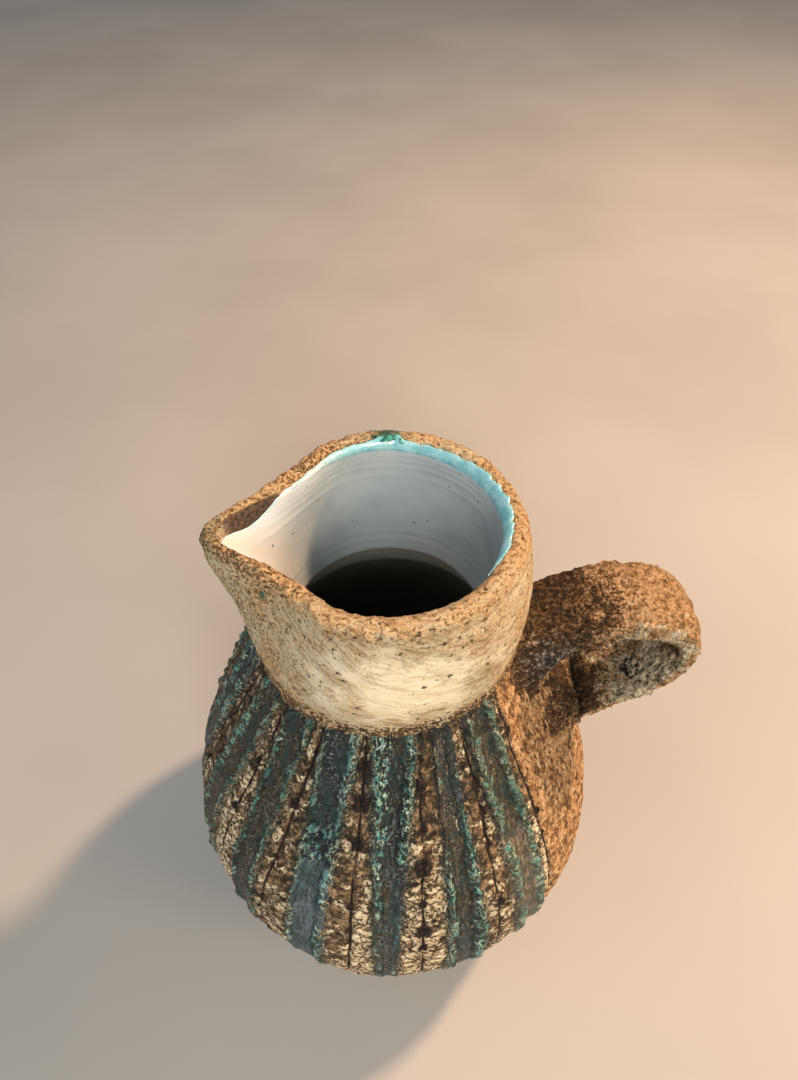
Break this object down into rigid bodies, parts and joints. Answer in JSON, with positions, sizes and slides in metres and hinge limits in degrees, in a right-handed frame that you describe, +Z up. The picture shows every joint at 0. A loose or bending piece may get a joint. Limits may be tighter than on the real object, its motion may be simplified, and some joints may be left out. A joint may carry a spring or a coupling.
{
  "type": "stoneware jug",
  "caption": "Hand-made stoneware jug: pear-shaped belly with raised glaze stripes, collar neck with a pulled spout, and a strap handle.",
  "frame": {"origin": "centre of the flat foot, on the belly's axis", "axes": "+Z up the belly's axis, +X towards the handle, -X towards the spout"},
  "size_m": [0.1621, 0.1424, 0.1868],
  "materials": {
    "bare_stoneware": "rough, pitted, brown stained clay",
    "cream_slip": "matt brushed cream slip with brown specks",
    "handle_clay": "very rough tan clay with dark grog",
    "dark_clay": "crusty dark brown clay and iron stain",
    "white_glaze": "glossy white",
    "dark_glaze": "glossy near black",
    "turquoise_glaze": "glossy turquoise",
    "stripe_glaze": "crusty slate blue and turquoise, half matt"
  },
  "bodies": {
    "root": {"belly_wall": "bare_stoneware", "collar_with_spout": "cream_slip", "handle_strap": "handle_clay", "handle_upper_wad": "dark_clay", "handle_lower_wad": "dark_clay", "belly_inside_glaze": "dark_glaze", "collar_inside_glaze": "white_glaze", "rim_turquoise_glaze": "turquoise_glaze", "glaze_stripe_01": "stripe_glaze", "glaze_stripe_02": "stripe_glaze", "glaze_stripe_03": "stripe_glaze", "glaze_stripe_04": "stripe_glaze", "glaze_stripe_05": "stripe_glaze", "glaze_stripe_06": "stripe_glaze", "glaze_stripe_07": "stripe_glaze", "glaze_stripe_08": "stripe_glaze", "glaze_stripe_09": "stripe_glaze", "glaze_stripe_10": "stripe_glaze", "glaze_stripe_11": "stripe_glaze", "glaze_stripe_12": "stripe_glaze", "glaze_stripe_13": "stripe_glaze"}
  },
  "joints": []
}
